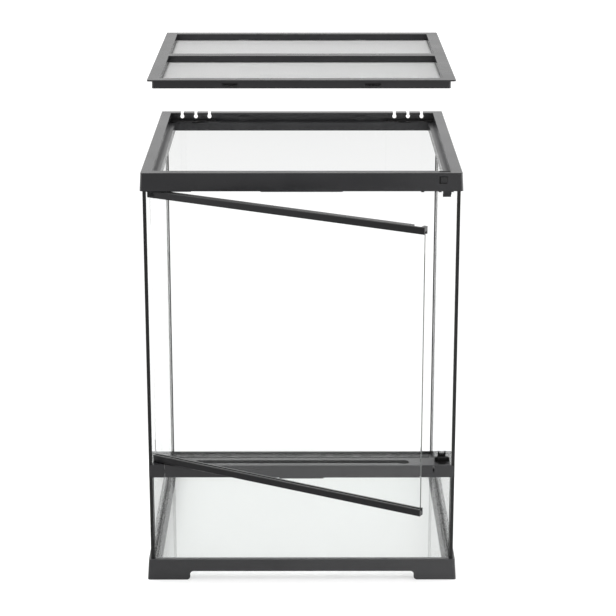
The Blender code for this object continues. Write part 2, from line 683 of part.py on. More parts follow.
def make_lower_hinge_block(materials):
    """The block at the left end of the strip, which holds the door's lower pin."""
    right = HINGE_BLOCK_LENGTH - HALF_WIDTH
    front = STRIP_FRONT - GAP
    plan = [
        (-HALF_WIDTH, front),
        (right, front),
        (right, front + HINGE_BLOCK_DEPTH),
        (-SIDE_INSIDE, front + HINGE_BLOCK_DEPTH),
        (-SIDE_INSIDE, FRONT),
        (-HALF_WIDTH, FRONT),
    ]
    block = link("lower_hinge_block", prism_mesh([plan], "Z", STRIP_BOTTOM, BLOCK_TOP),
                 materials["frame_plastic"])
    pane_slot = box_mesh((-HALF_WIDTH - PAST, KICK_FRONT - GAP, STRIP_BOTTOM - PAST),
                         (right + PAST, KICK_REAR + GAP, KICK_TOP + GAP))
    bore = cylinder_mesh(HINGE_AXIS, PIN_RADIUS + BORE_CLEARANCE,
                         BLOCK_TOP - PIN_IN_BLOCK - GAP, BLOCK_TOP + PAST)
    cut(block, pane_slot, bore)
    return [block]


def make_upper_hinge_block(materials):
    """The block inside the front of the top frame, which holds the door's upper pin."""
    left = -SIDE_INSIDE
    front = FRONT - GAP
    block = link("upper_hinge_block", box_mesh(
        (left, front, UPPER_BLOCK_BOTTOM),
        (left + UPPER_BLOCK_LENGTH, front + UPPER_BLOCK_DEPTH, LEDGE_UNDERSIDE - GAP)),
        materials["black_plastic"])
    bore = cylinder_mesh(HINGE_AXIS, PIN_RADIUS + BORE_CLEARANCE,
                         UPPER_BLOCK_BOTTOM - PAST, UPPER_PIN_TOP + GAP)
    cut(block, bore)
    return [block]


def make_pins(materials):
    """The steel pins that the door turns on."""
    lower = cylinder_mesh(HINGE_AXIS, PIN_RADIUS, BLOCK_TOP - PIN_IN_BLOCK, BOTTOM_RAIL_BASE + PIN_IN_RAIL)
    upper = cylinder_mesh(HINGE_AXIS, PIN_RADIUS, TOP_RAIL_TOP - PIN_IN_RAIL, UPPER_PIN_TOP)
    return [link("lower_hinge_pin", lower, materials["steel"]),
            link("upper_hinge_pin", upper, materials["steel"])]


def make_lower_catch(materials):
    """The catch that stands on the strip: foot, wings under the rail, and two horns behind it."""
    left = CATCH_MIDDLE - CATCH_WIDTH / 2
    right = CATCH_MIDDLE + CATCH_WIDTH / 2
    base = STRIP_TOP + GAP
    plug = box_mesh((left, CATCH_FRONT - CATCH_TONGUE_DEPTH, STRIP_TOP - STRIP_WALL),
                    (right, CATCH_REAR, STRIP_TOP - GAP))
    catch = link("lower_door_catch", plug, materials["black_plastic"])
    body = box_mesh((left, CATCH_FRONT, STRIP_TOP - PAST / 2), (right, CATCH_REAR, base + CATCH_WING_HEIGHT))
    half = CATCH_WING_SPAN / 2
    shoulder = base + CATCH_WING_SHOULDER
    top = base + CATCH_WING_HEIGHT - GAP
    wing = [
        (CATCH_MIDDLE - half, base),
        (CATCH_MIDDLE + half, base),
        (CATCH_MIDDLE + half, shoulder),
        (CATCH_MIDDLE + half - CATCH_WING_SLOPE, top),
        (CATCH_MIDDLE - half + CATCH_WING_SLOPE, top),
        (CATCH_MIDDLE - half, shoulder),
    ]
    wings = prism_mesh([wing], "Y", CATCH_FRONT + CATCH_WING_SETBACK, CATCH_POST_FRONT - CATCH_CLEARANCE)
    foot = box_mesh((left + GAP, CATCH_FRONT - CATCH_FOOT_REACH, base),
                    (right - GAP, CATCH_FRONT + GAP, base + CATCH_FOOT_HEIGHT))
    horns_low = base + CATCH_POST_HEIGHT
    horns = [
        (left, base),
        (right, base),
        (right, base + CATCH_HORN_HEIGHT),
        (right - CATCH_HORN_WIDTH, base + CATCH_HORN_HEIGHT),
        (right - CATCH_HORN_FOOT_WIDTH, horns_low),
        (left + CATCH_HORN_FOOT_WIDTH, horns_low),
        (left + CATCH_HORN_WIDTH, base + CATCH_HORN_HEIGHT),
        (left, base + CATCH_HORN_HEIGHT),
    ]
    post = prism_mesh([[(x, z + GAP) for x, z in horns]], "Y", CATCH_POST_FRONT, CATCH_REAR - GAP)
    join(catch, body, wings, foot, post)
    return [catch]


def clip_span():
    """Left and right side of the clip's head, in X."""
    right = CATCH_MIDDLE + CATCH_WIDTH / 2 - CLIP_OVERHANG
    return right - CLIP_WIDTH, right


def make_upper_catch(materials):
    """The clip in the top frame: head in the rim, body, lug in the front window, and a door hook."""
    left, right = clip_span()
    front = FRONT + FRAME_WALL - FRAME_TOP_REACH + GAP * 3
    head_bottom = FRAME_TOP - CLIP_HEAD_THICKNESS
    body = box_mesh((left, front, LEDGE_UNDERSIDE - CLIP_BODY_DROP),
                    (right, FRONT - RIM_INSIDE - FRAME_WALL - GAP * 2, head_bottom + GAP))
    clip = link("upper_door_catch", body, materials["black_plastic"])
    head = box_mesh((left + GAP, FRONT - FRAME_TOP_REACH + CLIP_SLOT_SETBACK + GAP, head_bottom),
                    (right - GAP, FRONT - RIM_INSIDE - GAP, FRAME_TOP - GAP))
    block_top = LEDGE_UNDERSIDE - GAP
    block_bottom = FRAME_BOTTOM - UPPER_CATCH_HANG
    hook_bottom = FRAME_BOTTOM - UPPER_HOOK_HANG
    hook_top = FRAME_BOTTOM - GAP
    hook_rear = CATCH_POST_FRONT + UPPER_HOOK_DEPTH
    block = prism_mesh([[
        (CATCH_FRONT, block_top), (CATCH_FRONT, block_bottom), (CATCH_POST_FRONT, block_bottom),
        (CATCH_POST_FRONT, hook_bottom), (hook_rear, hook_bottom), (hook_rear, hook_top),
        (DOOR_REAR - GAP, hook_top), (DOOR_REAR - GAP, block_top),
    ]], "X", CATCH_MIDDLE - CATCH_WIDTH / 2, CATCH_MIDDLE + CATCH_WIDTH / 2)
    window_top = FRAME_TOP - CLIP_WINDOW_DROP
    lug = box_mesh(
        (left + CLIP_LUG_SETBACK, FRONT - FRAME_TOP_REACH - GAP,
         window_top - CLIP_WINDOW_HEIGHT + CLIP_LUG_MARGIN),
        (left + CLIP_WINDOW_WIDTH - GAP, front + PAST, window_top - CLIP_LUG_MARGIN))
    join(clip, head, block, lug)
    return [clip]


# Top frame

def frame_profile():
    """The top frame's section: drafted face, rim, recess wall, ledge and skirt."""
    top, bottom = FRAME_TOP_REACH, FRAME_BOTTOM_REACH
    radius = RIM_EDGE_RADIUS
    rim_edge = arc((top - radius, FRAME_TOP - radius), radius, 0, 90, 3)
    return [
        (bottom, FRAME_BOTTOM),
        *rim_edge,
        (RIM_INSIDE + radius / 2, FRAME_TOP),
        (RIM_INSIDE, FRAME_TOP - radius / 2),
        (RIM_INSIDE, LEDGE_TOP),
        (LEDGE_INSIDE, LEDGE_TOP),
        (LEDGE_INSIDE, FRAME_BOTTOM),
        (LEDGE_INSIDE + FRAME_WALL, FRAME_BOTTOM),
        (LEDGE_INSIDE + FRAME_WALL, LEDGE_UNDERSIDE),
        (RIM_INSIDE + FRAME_WALL, LEDGE_UNDERSIDE),
        (RIM_INSIDE + FRAME_WALL, FRAME_TOP - FRAME_WALL),
        (top - FRAME_WALL, FRAME_TOP - FRAME_WALL),
        (bottom - FRAME_WALL, FRAME_BOTTOM),
    ]


def glass_stops():
    """Ribs across the frame's channel, which stand on the top edges of the panes."""
    inner = RIM_INSIDE + FRAME_WALL / 2
    outer = FRAME_TOP_REACH - FRAME_WALL / 2
    half = GLASS_STOP_THICKNESS / 2
    bottom, top = LEDGE_UNDERSIDE, FRAME_TOP - FRAME_WALL / 2
    ribs = []
    for step in (-1, 0, 1):
        along = step * GLASS_STOP_SPACING
        for side in (-1, 1):
            xs = sorted((side * (HALF_WIDTH + inner), side * (HALF_WIDTH + outer)))
            ribs.append(box_mesh((xs[0], along - half, bottom), (xs[1], along + half, top)))
        ribs.append(box_mesh((along - half, REAR + inner, bottom), (along + half, REAR + outer, top)))
    return ribs


def inlet_places(side):
    """X of each inlet in the group on one side."""
    first = INLET_MIDDLE - INLET_PITCH * (INLETS_EACH_SIDE - 1) / 2
    return [side * (first + INLET_PITCH * i) for i in range(INLETS_EACH_SIDE)]


def keyhole(x):
    """A round hole with a neck that opens upwards, as (X, Z) points."""
    bottom = FRAME_TOP - KEYHOLE_DEPTH
    mouth = FRAME_TOP + KEYHOLE_DEPTH
    half_neck = KEYHOLE_NECK / 2
    neck_angle = math.degrees(math.acos(half_neck / KEYHOLE_RADIUS))
    round_part = arc((x, bottom + KEYHOLE_RADIUS), KEYHOLE_RADIUS, 180 - neck_angle, 360 + neck_angle,
                     HOLE_SIDES)
    return [(x - half_neck, mouth), *round_part, (x + half_neck, mouth)]


def ledge_holes(side):
    """The holes that pass a cable through the rear ledge and past the skirt under it."""
    y = RECESS_REAR - LEDGE_HOLE_SETBACK
    return [circle((x, y), LEDGE_HOLE_RADIUS) for x in inlet_places(side)]


def inlet_arches():
    """Raised half rings on the rear skirt, one under each inlet."""
    height = LEDGE_TOP - 2 * GAP - ARCH_RADIUS
    arches = []
    for side in (-1, 1):
        rings = [
            arc((x, height), ARCH_RADIUS, 0, 180, HOLE_SIDES)
            + arc((x, height), ARCH_RADIUS - ARCH_WIDTH, 180, 0, HOLE_SIDES)
            for x in inlet_places(side)]
        arches.append(prism_mesh(rings, "Y", REAR_LEDGE_EDGE - ARCH_RISE, REAR_LEDGE_EDGE + GAP))
    return arches


def slider_guides():
    """Low ribs on the edge of the rear ledge, which guide the sliders."""
    guides = []
    for side in (-1, 1):
        for end in (-1, 1):
            middle = side * (INLET_MIDDLE - SLIDER_TRAVEL / 2)
            middle += end * (SLIDER_TAB_WIDTH + SLIDER_TRAVEL + PAST + SLIDER_GUIDE_LENGTH) / 2
            front = REAR_LEDGE_EDGE + GAP
            guides.append(box_mesh(
                (middle - SLIDER_GUIDE_LENGTH / 2, front, LEDGE_TOP - FRAME_WALL / 2),
                (middle + SLIDER_GUIDE_LENGTH / 2, front + SLIDER_GUIDE_WIDTH,
                 LEDGE_TOP + SLIDER_GUIDE_HEIGHT)))
    return guides


def make_top_frame(materials):
    mesh = ring_mesh((-HALF_WIDTH, FRONT), (HALF_WIDTH, REAR), frame_profile())
    round_upright_edges(mesh, HALF_WIDTH + FRAME_TOP_REACH / 2, HALF_DEPTH + FRAME_TOP_REACH / 2,
                        FRAME_CORNER_RADIUS)
    frame = link("top_frame", mesh, materials["frame_plastic"])
    rear_ledge = prism_mesh([[
        (REAR_LEDGE_EDGE, FRAME_BOTTOM),
        (REAR_LEDGE_EDGE + FRAME_WALL, FRAME_BOTTOM),
        (REAR_LEDGE_EDGE + FRAME_WALL, LEDGE_UNDERSIDE),
        (REAR + LEDGE_INSIDE + FRAME_WALL / 2, LEDGE_UNDERSIDE),
        (REAR + LEDGE_INSIDE + FRAME_WALL / 2, LEDGE_TOP),
        (REAR_LEDGE_EDGE, LEDGE_TOP),
    ]], "X", -HALF_WIDTH - LEDGE_INSIDE - FRAME_WALL / 2, HALF_WIDTH + LEDGE_INSIDE + FRAME_WALL / 2)
    lugs = [
        box_mesh((side * LUG_SPACING / 2 - LUG_WIDTH / 2, RECESS_REAR - LUG_REACH,
                  LEDGE_TOP - FRAME_WALL / 2),
                 (side * LUG_SPACING / 2 + LUG_WIDTH / 2, RECESS_REAR + FRAME_WALL / 2,
                  LEDGE_TOP + LUG_HEIGHT))
        for side in (-1, 1)]
    face = FRONT - FRAME_BOTTOM_REACH + GAP
    lip = box_mesh((-FRAME_LIP_WIDTH / 2, face, FRAME_BOTTOM - FRAME_LIP_DROP),
                   (FRAME_LIP_WIDTH / 2, face + FRAME_WALL - GAP * 2, FRAME_BOTTOM + PAST))
    bumps = []
    for setback in FRAME_BUMP_SETBACKS:
        middle = HALF_WIDTH - setback
        bumps.append(box_mesh(
            (middle - FRAME_BUMP_WIDTH / 2, face, FRAME_BOTTOM - FRAME_BUMP_DROP),
            (middle + FRAME_BUMP_WIDTH / 2, face + FRAME_WALL - GAP * 2, FRAME_BOTTOM + PAST)))
    join(frame, rear_ledge, *lugs, lip, *bumps, *glass_stops(), *slider_guides(), *inlet_arches())
    cut(frame, *inlet_cutters(), *clip_cutters())
    return [frame]


def inlet_cutters():
    """The keyholes, which slope down through the rear rim, and the holes in the ledge."""
    cutters = []
    outside = REAR + FRAME_BOTTOM_REACH - RECESS_REAR
    slope = Matrix.Translation((0.0, RECESS_REAR, 0.0)) @ Matrix.Shear("XZ", 4, (0.0, -KEYHOLE_SLOPE))
    for side in (-1, 1):
        keyholes = prism_mesh([keyhole(x) for x in inlet_places(side)], "Y", -PAST, outside + PAST)
        keyholes.transform(slope)
        cutters.append(keyholes)
        cutters.append(prism_mesh(ledge_holes(side), "Z", FRAME_BOTTOM - PAST, LEDGE_TOP + PAST))
    return cutters


def clip_cutters():
    """The slot in the rim for the upper catch's head, and the window in the face for its lug."""
    left, right = clip_span()
    front = FRONT + FRAME_WALL - FRAME_TOP_REACH + GAP * 2
    slot_bottom = FRAME_TOP - CLIP_HEAD_THICKNESS - GAP
    slot = box_mesh((left, FRONT - FRAME_TOP_REACH + CLIP_SLOT_SETBACK, slot_bottom),
                    (right, FRONT - RIM_INSIDE + PAST, FRAME_TOP + PAST))
    window_top = FRAME_TOP - CLIP_WINDOW_DROP
    window = box_mesh((left, FRONT - FRAME_BOTTOM_REACH - PAST, window_top - CLIP_WINDOW_HEIGHT),
                      (left + CLIP_WINDOW_WIDTH, front + PAST / 2, window_top))
    return [slot, window]


def make_slider(name, side, materials):
    """A plate with one hole for each inlet, and a thumb tab. At rest its inlets are open."""
    middle = side * INLET_MIDDLE
    rear = RECESS_REAR - GAP
    front = rear - SLIDER_WIDTH
    group = INLET_PITCH * (INLETS_EACH_SIDE - 1) / 2
    outer = middle + side * (group + SLIDER_OUTER_MARGIN)
    inner = middle - side * (group + SLIDER_INNER_MARGIN)
    left, right = sorted((outer, inner))
    half_tab = SLIDER_TAB_WIDTH / 2
    plan = [
        (left, front),
        (middle - half_tab, front),
        (middle - half_tab, front - SLIDER_TAB_REACH),
        (middle + half_tab, front - SLIDER_TAB_REACH),
        (middle + half_tab, front),
        (right, front),
        (right, rear),
        (left, rear),
    ]
    return link(name, prism_mesh([plan, *ledge_holes(side)], "Z", SLIDER_BOTTOM, SLIDER_TOP),
                materials["black_plastic"])


# Door

def rail_profile(low, high, groove_up):
    """A rail's section, as (Y, Z) points, with the glass groove on its top or its underside."""
    groove_front = GLASS_FRONT - GAP
    groove_rear = GLASS_FRONT + DOOR_GLASS + GAP
    groove_depth = GLASS_IN_RAIL + GAP
    flat, grooved = (low, high - groove_depth) if groove_up else (high, low + groove_depth)
    mouth = high if groove_up else low
    inward = -RAIL_CHAMFER if groove_up else RAIL_CHAMFER
    return [
        (DOOR_FRONT, mouth + inward),
        (DOOR_FRONT + RAIL_CHAMFER, mouth),
        (groove_front, mouth),
        (groove_front, grooved),
        (groove_rear, grooved),
        (groove_rear, mouth),
        (DOOR_REAR, mouth),
        (DOOR_REAR, flat),
        (DOOR_FRONT + RAIL_CHAMFER, flat),
        (DOOR_FRONT, flat - inward),
    ]


def rail_mesh(low, high, groove_up):
    """A straight rail between two heights, along the closed door."""
    return prism_mesh([rail_profile(low, high, groove_up)], "X", DOOR_LEFT, DOOR_RIGHT)


def end_rounder(low, high):
    """What is left outside the rounded front corner of a rail's free end."""
    radius = RAIL_END_RADIUS
    corner = arc((DOOR_RIGHT - radius, DOOR_FRONT + radius), radius, -90, 0, 5)
    outline = [
        *corner,
        (DOOR_RIGHT + PAST, DOOR_FRONT + radius),
        (DOOR_RIGHT + PAST, DOOR_FRONT - PAST),
        (DOOR_RIGHT - radius, DOOR_FRONT - PAST),
    ]
    return prism_mesh([outline], "Z", low - PAST, high + PAST)


def make_door(materials):
    """The glass with its two rails, closed."""
    inset = DOOR_GLASS_INSET
    glass = link("door_glass", box_mesh(
        (DOOR_LEFT + inset, GLASS_FRONT, GLASS_BOTTOM),
        (DOOR_RIGHT - inset, GLASS_FRONT + DOOR_GLASS, GLASS_TOP)), materials["clear_glass"])
    chamfer(glass, PANE_CHAMFER)

    plastic = materials["door_plastic"]
    base = BOTTOM_RAIL_BASE
    bottom_rail = link("door_bottom_rail", rail_mesh(base, base + RAIL_HEIGHT, True), plastic)
    half_wings = CATCH_WING_SPAN / 2 + CATCH_CLEARANCE
    catch_hollow = box_mesh(
        (CATCH_MIDDLE - half_wings, CATCH_FRONT - CATCH_CLEARANCE, base - PAST),
        (CATCH_MIDDLE + half_wings, DOOR_REAR + PAST, STRIP_TOP + CATCH_WING_HEIGHT + CATCH_CLEARANCE))
    bore = cylinder_mesh(HINGE_AXIS, PIN_RADIUS + BORE_CLEARANCE, base - PAST, base + PIN_IN_RAIL + GAP)
    cut(bottom_rail, catch_hollow, bore, end_rounder(base, base + RAIL_HEIGHT))

    top = TOP_RAIL_TOP
    top_rail = link("door_top_rail", rail_mesh(top - RAIL_HEIGHT, top, False), plastic)
    half = CATCH_WIDTH / 2 + CATCH_CLEARANCE * 2
    catch_notch = box_mesh(
        (CATCH_MIDDLE - half, CATCH_FRONT - CATCH_CLEARANCE,
         FRAME_BOTTOM - UPPER_CATCH_HANG - CATCH_CLEARANCE),
        (CATCH_MIDDLE + half, DOOR_REAR + PAST, top + PAST))
    bore = cylinder_mesh(HINGE_AXIS, PIN_RADIUS + BORE_CLEARANCE, top - PIN_IN_RAIL - GAP, top + PAST)
    cut(top_rail, catch_notch, bore, end_rounder(top - RAIL_HEIGHT, top))
    return [glass, bottom_rail, top_rail]


# Lid

def lid_profile():
    """The lid's section: flange, wall down to the mesh, and skirt."""
    window = -LID_RIM_WIDTH
    skirt = -LID_SKIRT_INSET
    edge = LID_FLANGE / 4
    return [
        (0.0, LID_SEAT),
        (0.0, LID_TOP - edge),
        (-edge, LID_TOP),
        (window + edge, LID_TOP),
        (window, LID_TOP - edge),
        (window, LID_TOP - LID_WINDOW_DEPTH),
        (window + LID_WALL, LID_TOP - LID_WINDOW_DEPTH),
        (window + LID_WALL, LID_SEAT),
        (skirt - LID_WALL, LID_SEAT),
        (skirt - LID_WALL, LID_TOP - LID_SKIRT_DEPTH),
        (skirt, LID_TOP - LID_SKIRT_DEPTH),
        (skirt, LID_SEAT),
    ]


def make_lid_frame(materials):
    corner = (LID_HALF_WIDTH, LID_HALF_DEPTH)
    mesh = ring_mesh((-LID_HALF_WIDTH, -LID_HALF_DEPTH), corner, lid_profile())
    skirt_x, skirt_y = LID_HALF_WIDTH - LID_SKIRT_INSET, LID_HALF_DEPTH - LID_SKIRT_INSET
    round_upright_edges(mesh, skirt_x - GAP, skirt_y - GAP, LID_CORNER_RADIUS)
    lid = link("lid_frame", mesh, materials["frame_plastic"])
    half = LID_BAR_WIDTH / 2
    bottom = LID_TOP - LID_WINDOW_DEPTH
    edge = LID_FLANGE / 4
    bar = prism_mesh([[
        (-half, bottom), (-half, LID_TOP - edge), (edge - half, LID_TOP),
        (half - edge, LID_TOP), (half, LID_TOP - edge), (half, bottom),
        (half - LID_WALL, bottom), (half - LID_WALL, LID_SEAT),
        (LID_WALL - half, LID_SEAT), (LID_WALL - half, bottom),
    ]], "X", LID_RIM_WIDTH - LID_HALF_WIDTH - LID_WALL / 2, LID_HALF_WIDTH - LID_RIM_WIDTH + LID_WALL / 2)
    join(lid, bar)
    top = LID_TOP - LATCH_WINDOW_DROP
    windows = [
        box_mesh((side * LATCH_WINDOW_SPACING / 2 - LATCH_WINDOW_WIDTH / 2, -skirt_y - PAST,
                  top - LATCH_WINDOW_HEIGHT),
                 (side * LATCH_WINDOW_SPACING / 2 + LATCH_WINDOW_WIDTH / 2, -skirt_y + LID_WALL + PAST, top))
        for side in (-1, 1)]
    notches = [
        box_mesh((side * LUG_SPACING / 2 - LUG_WIDTH / 2 - GAP * 3, skirt_y - LID_WALL - PAST,
                  LID_TOP - LID_SKIRT_DEPTH - PAST),
                 (side * LUG_SPACING / 2 + LUG_WIDTH / 2 + GAP * 3, skirt_y + PAST,
                  LEDGE_TOP + LUG_HEIGHT + GAP * 2))
        for side in (-1, 1)]
    cut(lid, *windows, *notches)
    return [lid]


def make_lid_meshes(materials):
    """The steel mesh under each window, and the ring under them that holds them to the frame."""
    outer_x = LID_HALF_WIDTH - LID_SKIRT_INSET - LID_WALL - GAP
    outer_y = LID_HALF_DEPTH - LID_SKIRT_INSET - LID_WALL - GAP
    inner_x = LID_HALF_WIDTH - LID_RIM_WIDTH
    inner_y = LID_HALF_DEPTH - LID_RIM_WIDTH
    top = LID_MESH_TOP
    half_bar = LID_BAR_WIDTH / 2
    front = net_mesh((-outer_x, -outer_y, top), (outer_x, -GAP, top),
                     (-inner_x, -inner_y), (inner_x, -half_bar),
                     LID_MESH_COLUMNS, LID_MESH_ROWS, LID_MESH_WIRE, LID_MESH_THICKNESS)
    rear = net_mesh((-outer_x, GAP, top), (outer_x, outer_y, top),
                    (-inner_x, half_bar), (inner_x, inner_y),
                    LID_MESH_COLUMNS, LID_MESH_ROWS, LID_MESH_WIRE, LID_MESH_THICKNESS)
    ring_top = top - LID_MESH_THICKNESS - GAP
    ring_low = ring_top - RETAINER_THICKNESS
    ring = ring_mesh((-outer_x, -outer_y), (outer_x, outer_y), [
        (0.0, ring_low), (0.0, ring_top), (-RETAINER_WIDTH, ring_top), (-RETAINER_WIDTH, ring_low)])
    retainer = link("mesh_retainer", ring, materials["black_plastic"])
    join(retainer, box_mesh(
        (RETAINER_WIDTH / 2 - outer_x, LID_WALL - half_bar, ring_low + GAP / 2),
        (outer_x - RETAINER_WIDTH / 2, half_bar - LID_WALL, ring_top - GAP / 2)))
    return [link("front_mesh", front, materials["mesh_steel"]),
            link("rear_mesh", rear, materials["mesh_steel"]), retainer]


# Assembly

def carrier(name, place, parent):
    """An empty that carries the pieces of one moving body, with its origin on the joint's axis."""
    empty = bpy.data.objects.new(name, None)
    empty.empty_display_size = 0.03
    empty.location = place
    part_collection.objects.link(empty)
    if parent:
        empty.parent = parent
    return empty


def carry(pieces, empty):
    """Hangs pieces on an empty that hasn't moved yet, where they are."""
    for piece in pieces:
        piece.parent = empty
        piece.matrix_parent_inverse = Matrix.Translation(-empty.location)


def footprint_middle(pieces):
    """Middle, in Y, of the box round all the pieces."""
    bpy.context.view_layer.update()
    graph = bpy.context.evaluated_depsgraph_get()
    ys = []
    for piece in pieces:
        shown = piece.evaluated_get(graph)
        ys += [(shown.matrix_world @ Vector(corner)).y for corner in shown.bound_box]
    return (min(ys) + max(ys)) / 2


def build():
    for old in list(bpy.data.objects):
        bpy.data.objects.remove(old)
    bpy.context.scene.collection.children.link(part_collection)
    bpy.context.scene.collection.children.link(tool_collection)
    materials = make_materials()
    fixed = [
        *make_base(materials),
        *make_glass(materials),
        *make_edge_strips(materials),
        *make_silicone(materials),
        *make_strip(materials),
        *make_vent_mesh(materials),
        *make_lower_hinge_block(materials),
        *make_upper_hinge_block(materials),
        *make_pins(materials),
        *make_lower_catch(materials),
        *make_top_frame(materials),
        *make_upper_catch(materials),
    ]
    left_slider = make_slider("left_inlet_slider", -1, materials)
    right_slider = make_slider("right_inlet_slider", 1, materials)
    door = make_door(materials)
    lid = make_lid_frame(materials) + make_lid_meshes(materials)

    tank = carrier("tank_centre", (0.0, 0.0, 0.0), None)
    door_axis = carrier("door_axis", HINGE_AXIS, tank)
    lid_seat = carrier("lid_seat", (0.0, 0.0, LID_SEAT), tank)
    left_track = carrier("left_inlet_track", (-INLET_MIDDLE, RECESS_REAR, SLIDER_BOTTOM), tank)
    right_track = carrier("right_inlet_track", (INLET_MIDDLE, RECESS_REAR, SLIDER_BOTTOM), tank)
    carry(fixed, tank)
    carry(door, door_axis)
    carry(lid, lid_seat)
    carry([left_slider], left_track)
    carry([right_slider], right_track)

    door_axis.rotation_euler.z = -DOOR_OPEN_ANGLE
    lid_seat.location.z += LID_LIFT
    every_piece = [*fixed, *door, *lid, left_slider, right_slider]
    tank.location.y = -footprint_middle(every_piece)
    bpy.context.view_layer.update()
    axis = door_axis.matrix_world.translation
    print("tank centre in Y", round(tank.location.y, 6), "door axis", [round(c, 6) for c in axis])


build()
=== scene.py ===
"""The looks of the terrarium: finishes, woven mesh, softened edges, studio floor, light and camera."""

import math

import bmesh
import bpy
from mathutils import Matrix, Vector


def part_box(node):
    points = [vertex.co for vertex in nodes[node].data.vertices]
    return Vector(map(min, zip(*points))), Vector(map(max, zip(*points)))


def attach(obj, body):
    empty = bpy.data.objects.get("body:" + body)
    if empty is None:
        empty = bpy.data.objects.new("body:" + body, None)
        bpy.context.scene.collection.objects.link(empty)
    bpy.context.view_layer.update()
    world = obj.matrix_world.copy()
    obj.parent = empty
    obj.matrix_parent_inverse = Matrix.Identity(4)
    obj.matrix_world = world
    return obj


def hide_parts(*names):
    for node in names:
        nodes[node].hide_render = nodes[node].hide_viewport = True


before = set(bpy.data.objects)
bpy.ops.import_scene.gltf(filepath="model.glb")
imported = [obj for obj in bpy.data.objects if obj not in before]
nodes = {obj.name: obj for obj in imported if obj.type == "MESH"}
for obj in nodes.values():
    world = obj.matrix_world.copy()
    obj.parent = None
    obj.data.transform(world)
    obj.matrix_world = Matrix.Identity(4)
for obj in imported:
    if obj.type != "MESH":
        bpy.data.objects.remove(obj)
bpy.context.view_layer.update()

# Places in the frame, in metres
base_low, base_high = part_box("base_frame")
TANK_MIDDLE = (base_low + base_high) / 2
TANK_X, TANK_Y = TANK_MIDDLE.x, TANK_MIDDLE.y
lid_low, lid_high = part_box("lid_frame")
LID_RIM_WIDTH = 0.0175
DOOR_ANGLE = math.radians(29.2)  # how far the door stands open in the photograph


# Node trees

NOISE_SPAN = (0.3, 0.7)  # where most values of a noise lie


class NodeTree:
    """A node tree, with short calls that add and join its nodes."""

    def __init__(self, node_tree):
        self.nodes = node_tree.nodes
        self.links = node_tree.links

    def add(self, kind, **values):
        """A node, with values for its own settings or else for its sockets."""
        node = self.nodes.new(kind)
        for key, value in values.items():
            if hasattr(node, key):
                setattr(node, key, value)
            else:
                node.inputs[key.replace("_", " ")].default_value = value
        return node

    def join(self, source, target):
        self.links.new(source, target)

    def math(self, operation, first, second):
        """A math node on two values, each a socket or a number."""
        node = self.add("ShaderNodeMath", operation=operation)
        for socket, value in zip(node.inputs, (first, second)):
            if isinstance(value, float):
                socket.default_value = value
            else:
                self.join(value, socket)
        return node.outputs[0]

    def mirrored(self, path):
        """1 for a ray that a surface mirrors. A ray through glass counts as glossy too, so both are asked."""
        return self.math("MULTIPLY", path.outputs["Is Glossy Ray"], path.outputs["Is Reflection Ray"])


class Finish(NodeTree):
    """The node tree of a new material."""

    def __init__(self, name):
        self.material = bpy.data.materials.new(name)
        self.material.use_nodes = True
        super().__init__(self.material.node_tree)
        self.shader = self.nodes["Principled BSDF"]
        self.output = self.nodes["Material Output"]

    def set(self, **values):
        """Sets constants on the Principled shader's own sockets."""
        for key, value in values.items():
            self.shader.inputs[key.replace("_", " ")].default_value = value

    def noise(self, scale, detail=2.0, roughness=0.5, stretch=(1.0, 1.0, 1.0)):
        """Noise on object coordinates."""
        place = self.add("ShaderNodeTexCoord")
        mapping = self.add("ShaderNodeMapping")
        mapping.inputs["Scale"].default_value = stretch
        texture = self.add("ShaderNodeTexNoise", Scale=scale, Detail=detail, Roughness=roughness)
        self.join(place.outputs["Object"], mapping.inputs["Vector"])
        self.join(mapping.outputs["Vector"], texture.inputs["Vector"])
        return texture.outputs["Fac"]

    def normal(self):
        """The surface's own direction, which stays with the piece."""
        return self.add("ShaderNodeTexCoord").outputs["Normal"]

    def split(self, vector):
        """The three parts of a vector, by name."""
        parts = self.add("ShaderNodeSeparateXYZ")
        self.join(vector, parts.inputs["Vector"])
        return parts.outputs

    def spread(self, value, low, high, span=NOISE_SPAN):
        """The value moved from a span to the range from low to high."""
        node = self.add("ShaderNodeMapRange")
        node.inputs["From Min"].default_value = span[0]
        node.inputs["From Max"].default_value = span[1]
        node.inputs["To Min"].default_value = low
        node.inputs["To Max"].default_value = high
        self.join(value, node.inputs["Value"])
        return node.outputs["Result"]

    def blend(self, factor, first, second):
        """A colour between two colours, each a socket or three numbers."""
        node = self.add("ShaderNodeMix", data_type="RGBA")
        for socket in node.inputs:
            if socket.type == "RGBA":
                colour = first if socket.name == "A" else second
                if isinstance(colour, tuple):
                    socket.default_value = (*colour, 1.0)
                else:
                    self.join(colour, socket)
        self.join(factor, node.inputs["Factor"])
        return [socket for socket in node.outputs if socket.type == "RGBA"][0]

    def bump(self, height, strength, distance, below=None):
        """The surface's direction, tilted by a height."""
        node = self.add("ShaderNodeBump", Strength=strength, Distance=distance)
        self.join(height, node.inputs["Height"])
        if below is not None:
            self.join(below, node.inputs["Normal"])
        return node.outputs["Normal"]


# Moulded plastic

CLOUD_SCALE = 14.0
GRAIN_SCALE = 1800.0
GRAIN_STRENGTH = 0.5
GRAIN_DEPTH = 0.00004
FLOW_SCALE = 60.0
FLOW_STRETCH = (0.25, 0.25, 1.0)
FLOW_STRENGTH = 0.02
FLOW_DEPTH = 0.0001
SHEEN_BELOW = 0.02  # how far the roughness strays, down and up
SHEEN_ABOVE = 0.03
UPWARD_SPAN = (0.5, 0.9)  # from here to there, a face counts more and more as one that points up and takes the painted light or shade of the upper faces
